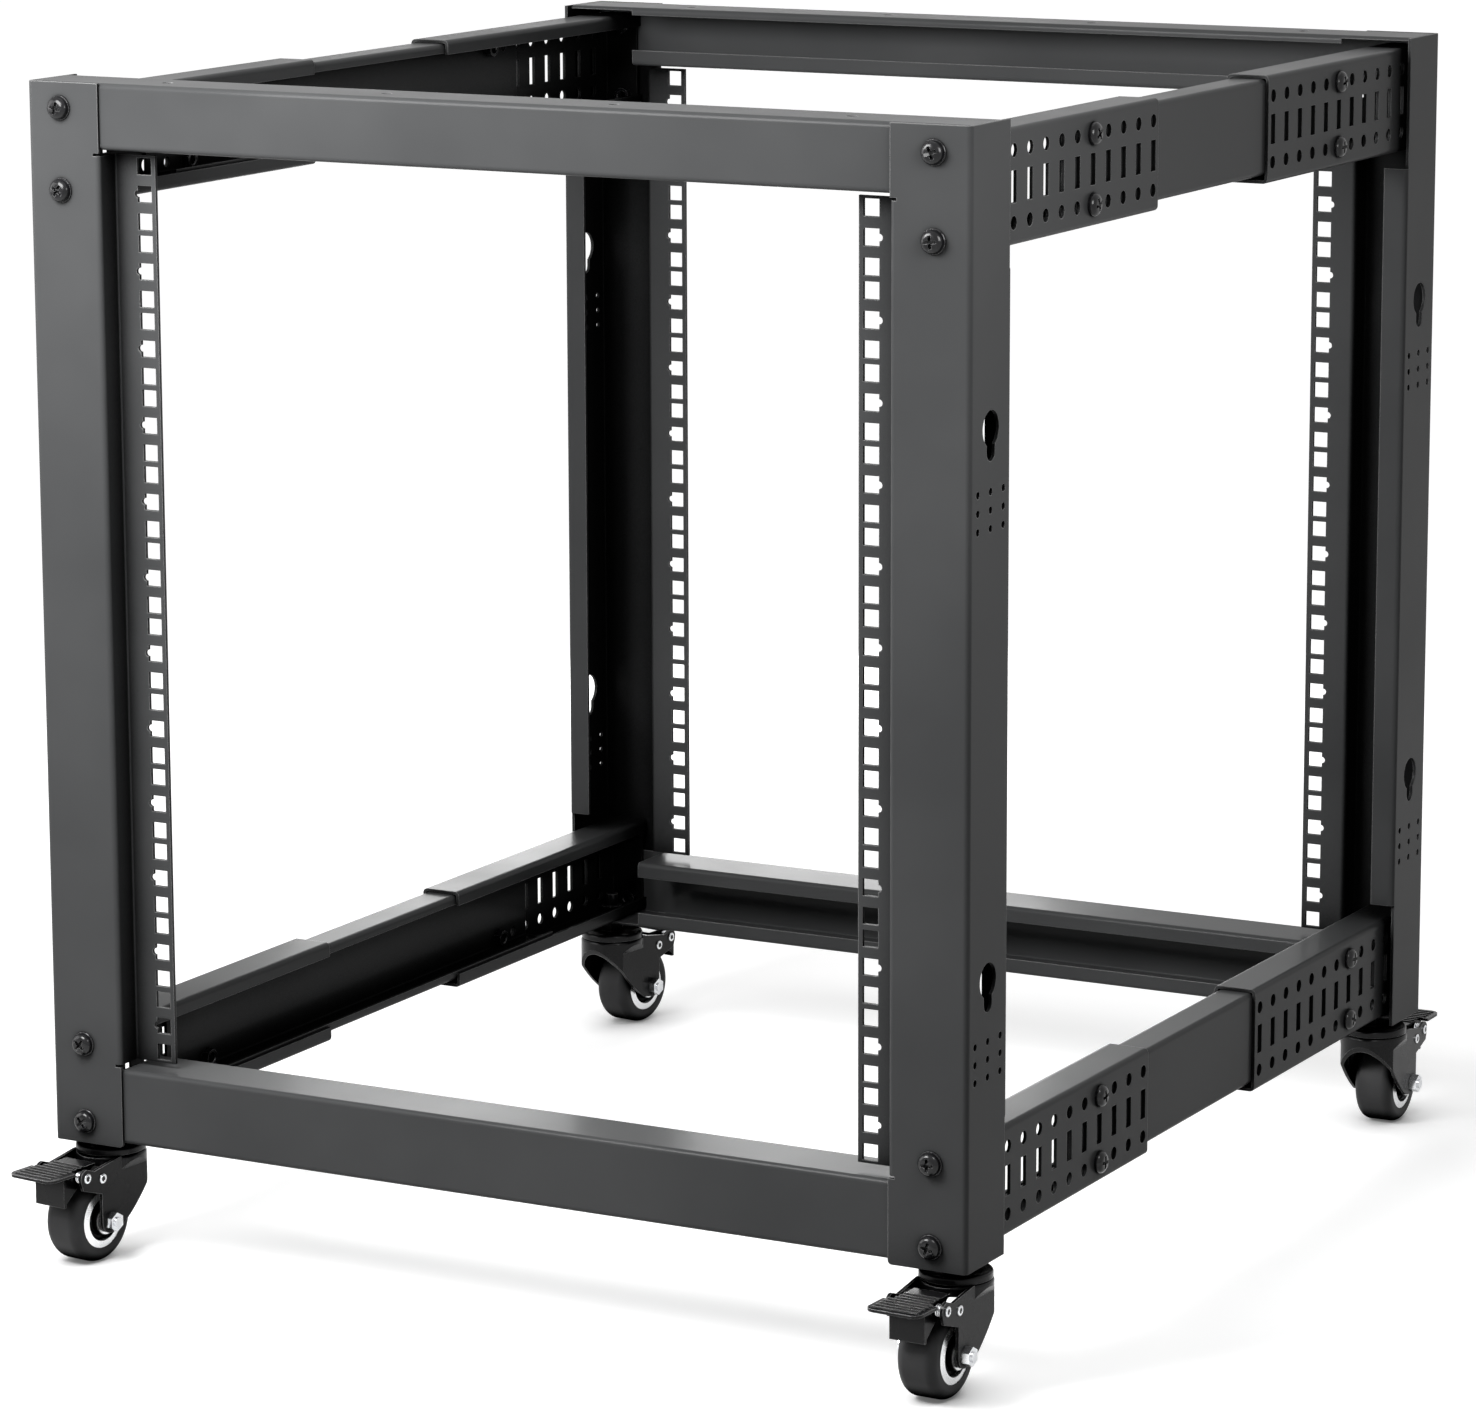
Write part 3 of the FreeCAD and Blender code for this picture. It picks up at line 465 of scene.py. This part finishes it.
def rolled_rim(name):
    """The rolled end of a hollow rivet, standing on z = 0."""
    high, mid = RIVET_RIM_HIGH, (RIVET_HOLE_R + RIVET_RIM_R) / 2
    profile = [(RIVET_HOLE_R, 0), (RIVET_HOLE_R + 0.15, high * 0.8), (mid, high),
               (RIVET_RIM_R - 0.25, high * 0.7), (RIVET_RIM_R, 0), (RIVET_HOLE_R, 0)]
    return mesh_object(name, revolved(profile, RIM_STEPS))


def rivet_hole_shade(name):
    """A dark shallow dish on z = 0 in a hollow rivet's hole: painted shade for the hole's dark inside."""
    profile = [(0, 0), (RIVET_HOLE_R, 0), (RIVET_HOLE_R, 0.12), (RIVET_HOLE_R * 0.6, 0.06),
               (0, 0.05)]
    return mesh_object(name, revolved(profile, DISH_STEPS))


def tube(path, radius):
    """A bmesh of wire along a path that is never upright, closed at both ends."""
    bm = bmesh.new()
    rings = []
    for i, point in enumerate(path):
        along = (path[min(i + 1, len(path) - 1)] - path[max(i - 1, 0)]).normalized()
        side = along.cross(Vector((0, 0, 1))).normalized()
        other = side.cross(along)
        turns = [FULL_TURN * k / WIRE_SIDES for k in range(WIRE_SIDES)]
        rings.append([bm.verts.new(point + side * radius * math.cos(t)
                                   + other * radius * math.sin(t)) for t in turns])
    bridge(bm, rings)
    bm.faces.new(rings[0][::-1])
    bm.faces.new(rings[-1])
    return bm


def spring(name):
    """Torsion spring coiled about Z."""
    steps = SPRING_STEPS * SPRING_TURNS
    path = []
    for i in range(steps + 1):
        turn = FULL_TURN * i / SPRING_STEPS
        height = SPRING_START + (SPRING_END - SPRING_START) * i / steps
        path.append(Vector((SPRING_R * math.cos(turn), SPRING_R * math.sin(turn), height)))
    return mesh_object(name, tube(path, SPRING_WIRE_R))


COVER, RIM_ROLL, HOLE_SHADE, COIL = (hub_cover("hub_cover"), rolled_rim("rivet_rim"),
                               rivet_hole_shade("rivet_hole_shade"), spring("spring"))
JOINT = {joint["name"]: joint for joint in frame["joints"]}

for end, side in CORNERS:
    corner = "%s_%s" % (end, side)
    swivel, axle, pivot = (Vector(JOINT[kind + corner]["pos_m"]) / MM
                           for kind in ("swivel_", "roll_", "brake_"))
    axis = Vector(JOINT["roll_" + corner]["axis"]).normalized()
    ahead = Vector((axle.x - swivel.x, axle.y - swivel.y, 0)).normalized()
    rivet = pivot - ahead * RIVET_BACK - Vector((0, 0, RIVET_DROP))
    fork = "fork_" + corner
    for hand, outward in (("a", axis), ("b", -axis)):
        tag = "%s_%s" % (corner, hand)
        placed("hub_cover_" + tag, COVER, ENAMEL, axle, outward, "wheel_" + corner)
        placed("spring_" + tag, COIL, ZINC, pivot, outward, fork)
        for what, spot in (("pivot", pivot), ("rivet", rivet)):
            face = spot + outward * RIVET_HEAD
            placed("rim_%s_%s" % (what, tag), RIM_ROLL, ZINC, face, outward, fork)
            # a dark dish fills each rivet's hole: painted shade
            placed("hole_%s_%s" % (what, tag), HOLE_SHADE, SCREW_BLACK, face, outward,
                   fork)

for source in (COVER, RIM_ROLL, HOLE_SHADE, COIL):
    bpy.data.objects.remove(source)


# ---- camera --------------------------------------------------------------------------
AZIMUTH, ELEVATION, ROLL = 28.396, 11.311, -0.186       # degrees
CAMERA_AT = (1.6301, -3.0492, 0.9939)
SENSOR = 36.0
LENS = 141.17
CLIP_END = 100.0


def camera_matrix():
    """Place and turn of the camera from its azimuth, elevation and roll."""
    a, e, r = (math.radians(v) for v in (AZIMUTH, ELEVATION, ROLL))
    back = Vector((math.sin(a) * math.cos(e), -math.cos(a) * math.cos(e), math.sin(e)))
    level = Vector((math.cos(a), math.sin(a), 0))
    up = back.cross(level)
    right = level * math.cos(r) + up * math.sin(r)
    top = up * math.cos(r) - level * math.sin(r)
    turn = Matrix((right, top, back)).transposed().to_4x4()
    return Matrix.Translation(CAMERA_AT) @ turn


camera_data = bpy.data.cameras.new("camera")
camera_data.sensor_width = SENSOR
camera_data.lens = LENS
camera_data.clip_end = CLIP_END
camera = bpy.data.objects.new("camera", camera_data)
camera.matrix_world = camera_matrix()
bpy.context.scene.collection.objects.link(camera)
bpy.context.scene.camera = camera

# ---- stage (metres) ------------------------------------------------------------------
FLOOR_HALF = 12.0
FLOOR_PLAIN = 0.16              # as the object's light meets it
FLOOR_SHOWN = 0.65              # as the camera and reflections see it
GLOW_SPAN = (0.6, 1.4)          # distances over which the shown floor rises to white
GLOW_NEAR, GLOW_FAR = 0.72, 1.0
PAINTED_SHADOW_REACH = 0.07            # reach of the painted shadow under the wheels
PAINTED_SHADOW_SPAN = (0.30, 0.85)
PAINTED_SHADOW_DARK = 0.15
AMBIENT = 0.06
LAMPS = (("key", (-0.30, -0.93, 0.98), (-0.10, -0.33, 0.50), 0.5, 18.5),
         ("left", (-1.6, -1.1, 0.9), (0.0, -0.1, 0.2), 1.2, 14.0),
         ("side", (0.66, -0.50, 0.84), (0.30, -0.24, 0.64), 0.25, 2.6),
         ("rear", (-0.9, 1.5, 0.40), (0.0, 0.2, 0.35), 0.7, 8.0),
         ("top", (0.0, 0.1, 1.9), (0.0, 0.0, 0.6), 1.0, 2.2))


def seen_directly(tree):
    """A value that is 1 for camera, glossy and transmission rays."""
    path = tree.nodes.new("ShaderNodeLightPath")
    first = operator(tree, "ShaderNodeMath", "MAXIMUM")
    link(tree, path, "Is Camera Ray", first, 0)
    link(tree, path, "Is Glossy Ray", first, 1)
    second = operator(tree, "ShaderNodeMath", "MAXIMUM")
    link(tree, first, "Value", second, 0)
    link(tree, path, "Is Transmission Ray", second, 1)
    return second


def painted(tree, kind, value):
    """A diffuse or background node in a grey."""
    node = tree.nodes.new(kind)
    node.inputs["Color"].default_value = (value, value, value, 1)
    return node


def floor_material():
    """Pale floor: white away from the object, with the object's shadow kept and a painted shadow darkening it
    under the wheels.
    """
    material = bpy.data.materials.new("floor")
    material.use_nodes = True
    tree = material.node_tree
    tree.nodes.clear()
    out = tree.nodes.new("ShaderNodeOutputMaterial")
    plain = painted(tree, "ShaderNodeBsdfDiffuse", FLOOR_PLAIN)
    shown = painted(tree, "ShaderNodeBsdfDiffuse", FLOOR_SHOWN)
    glow = tree.nodes.new("ShaderNodeEmission")
    coords = tree.nodes.new("ShaderNodeTexCoord")
    away = operator(tree, "ShaderNodeVectorMath", "LENGTH")
    link(tree, coords, "Object", away, 0)
    rise = remap(tree, away, "Value", GLOW_SPAN, (GLOW_NEAR, GLOW_FAR))
    # Ambient occlusion dims the floor's glow near the wheels: a painted shadow.
    close = tree.nodes.new("ShaderNodeAmbientOcclusion")
    close.inputs["Distance"].default_value = PAINTED_SHADOW_REACH
    under = remap(tree, close, "AO", PAINTED_SHADOW_SPAN, (PAINTED_SHADOW_DARK, 1.0))
    level = operator(tree, "ShaderNodeMath", "MULTIPLY")
    link(tree, rise, "Result", level, 0)
    link(tree, under, "Result", level, 1)
    link(tree, level, "Value", glow, "Strength")
    both = tree.nodes.new("ShaderNodeAddShader")
    mix = tree.nodes.new("ShaderNodeMixShader")
    link(tree, shown, "BSDF", both, 0)
    link(tree, glow, "Emission", both, 1)
    link(tree, seen_directly(tree), "Value", mix, 0)
    link(tree, plain, "BSDF", mix, 1)
    link(tree, both, "Shader", mix, 2)
    link(tree, mix, "Shader", out, "Surface")
    return material


def make_floor():
    """A wide flat floor under the wheels."""
    mesh = bpy.data.meshes.new("floor")
    corners = [(x * FLOOR_HALF, y * FLOOR_HALF, 0) for x, y in ((-1, -1), (1, -1), (1, 1), (-1, 1))]
    mesh.from_pydata(corners, [], [(0, 1, 2, 3)])
    mesh.materials.append(floor_material())
    obj = bpy.data.objects.new("floor", mesh)
    bpy.context.scene.collection.objects.link(obj)


def make_world():
    """White surroundings to the camera and in reflections, and a faint light to the rest."""
    world = bpy.data.worlds.new("world")
    bpy.context.scene.world = world
    world.use_nodes = True
    tree = world.node_tree
    tree.nodes.clear()
    out = tree.nodes.new("ShaderNodeOutputWorld")
    ambient = painted(tree, "ShaderNodeBackground", 1.0)
    ambient.inputs["Strength"].default_value = AMBIENT
    white = painted(tree, "ShaderNodeBackground", 1.0)
    white.inputs["Strength"].default_value = 1.0
    mix = tree.nodes.new("ShaderNodeMixShader")
    link(tree, seen_directly(tree), "Value", mix, 0)
    link(tree, ambient, "Background", mix, 1)
    link(tree, white, "Background", mix, 2)
    link(tree, mix, "Shader", out, "Surface")


def soft_light(name, place, target, size, power):
    """A square lamp at a place, turned to a target."""
    back = Vector(place) - Vector(target)
    data = bpy.data.lights.new(name, "AREA")
    data.shape = "SQUARE"
    data.size = size
    data.energy = power
    obj = bpy.data.objects.new(name, data)
    obj.location = place
    obj.rotation_mode = "QUATERNION"
    obj.rotation_quaternion = back.to_track_quat("Z", "Y")
    bpy.context.scene.collection.objects.link(obj)


make_floor()
make_world()
for lamp in LAMPS:
    soft_light(*lamp)
bpy.context.scene.view_settings.view_transform = "Standard"
